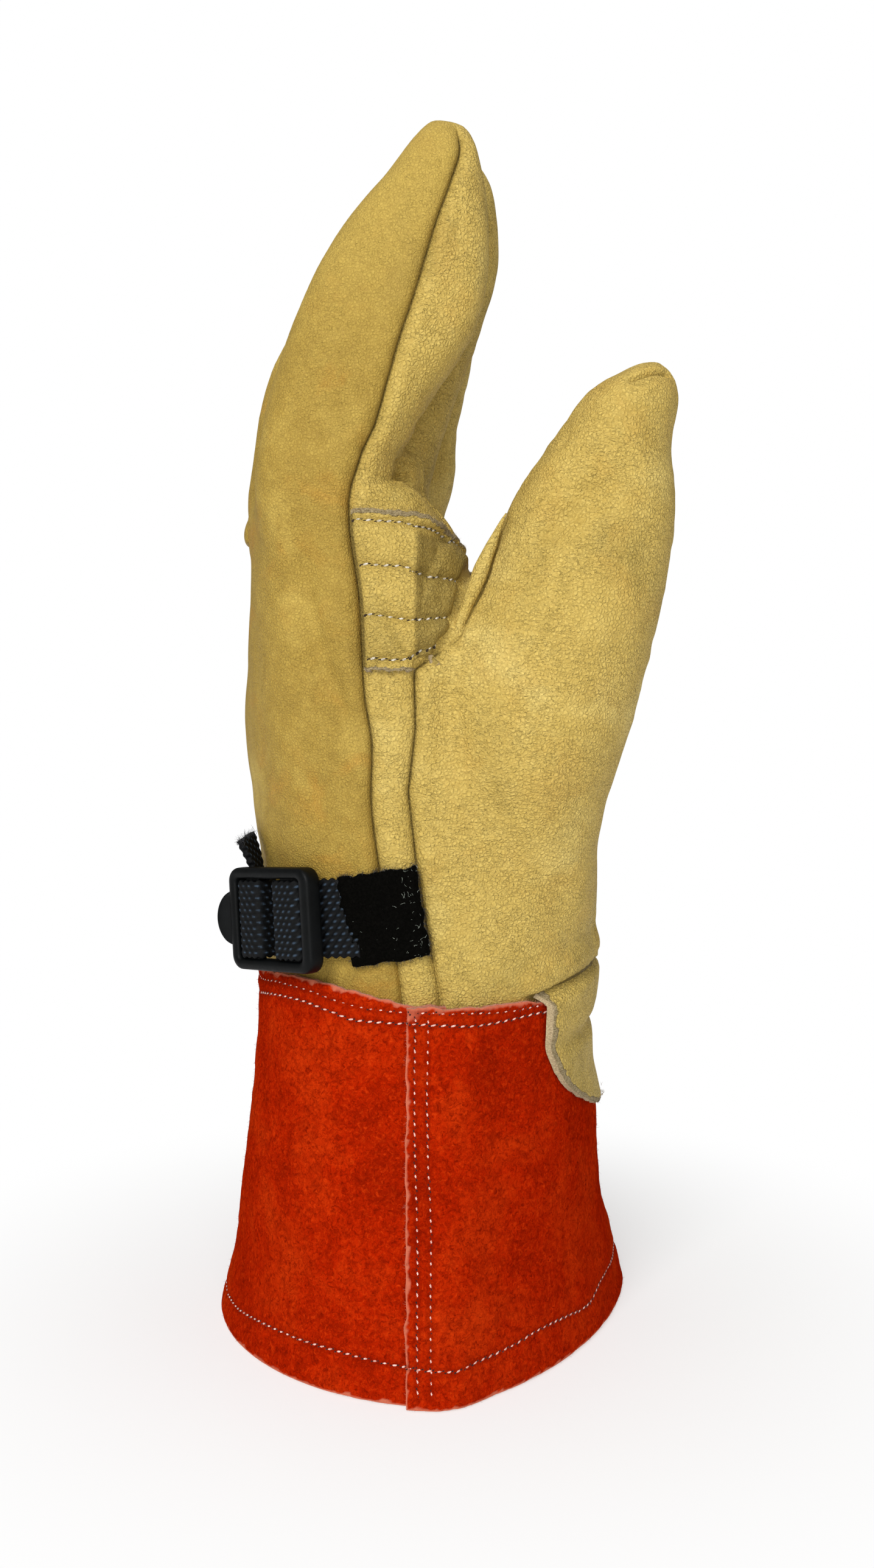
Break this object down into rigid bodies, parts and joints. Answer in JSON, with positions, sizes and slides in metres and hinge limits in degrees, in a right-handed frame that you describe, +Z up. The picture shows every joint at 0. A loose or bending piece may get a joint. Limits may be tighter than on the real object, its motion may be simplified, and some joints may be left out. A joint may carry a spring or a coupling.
{
  "type": "leather protector glove",
  "caption": "Left-hand leather over-glove with curved fingers, stitched palm patch, felt and webbing wrist strap with buckle, and a flared split-leather cuff.",
  "frame": {"origin": "on the floor under the middle of the glove's outline, with the hem of the cuff at z = 0", "axes": "+Z up from the hem to the fingertips, +X from the back of the hand to the palm and thumb, -Y towards the index finger and +Y towards the little finger"},
  "size_m": [0.1188, 0.1318, 0.3048],
  "materials": {
    "back_leather": "golden grain leather, satin, with soft wear",
    "palm_leather": "light grain leather, satin, finely pebbled",
    "cuff_suede": "split suede, matt and mottled",
    "felt": "matt felt with lint",
    "webbing": "woven webbing",
    "plastic": "moulded, satin"
  },
  "bodies": {
    "root": {"back_panel": "back_leather", "middle_back_panel": "back_leather", "palm_panel": "palm_leather", "fourchette_index_middle": "palm_leather", "fourchette_middle_ring": "palm_leather", "fourchette_ring_little": "palm_leather", "thumb_panel": "palm_leather", "thumb_inner": "palm_leather", "palm_patch": "palm_leather", "heel_tongue": "palm_leather", "cuff": "cuff_suede", "felt_tab": "felt", "strap_front": "webbing", "strap_back": "webbing", "buckle": "plastic"}
  },
  "joints": []
}
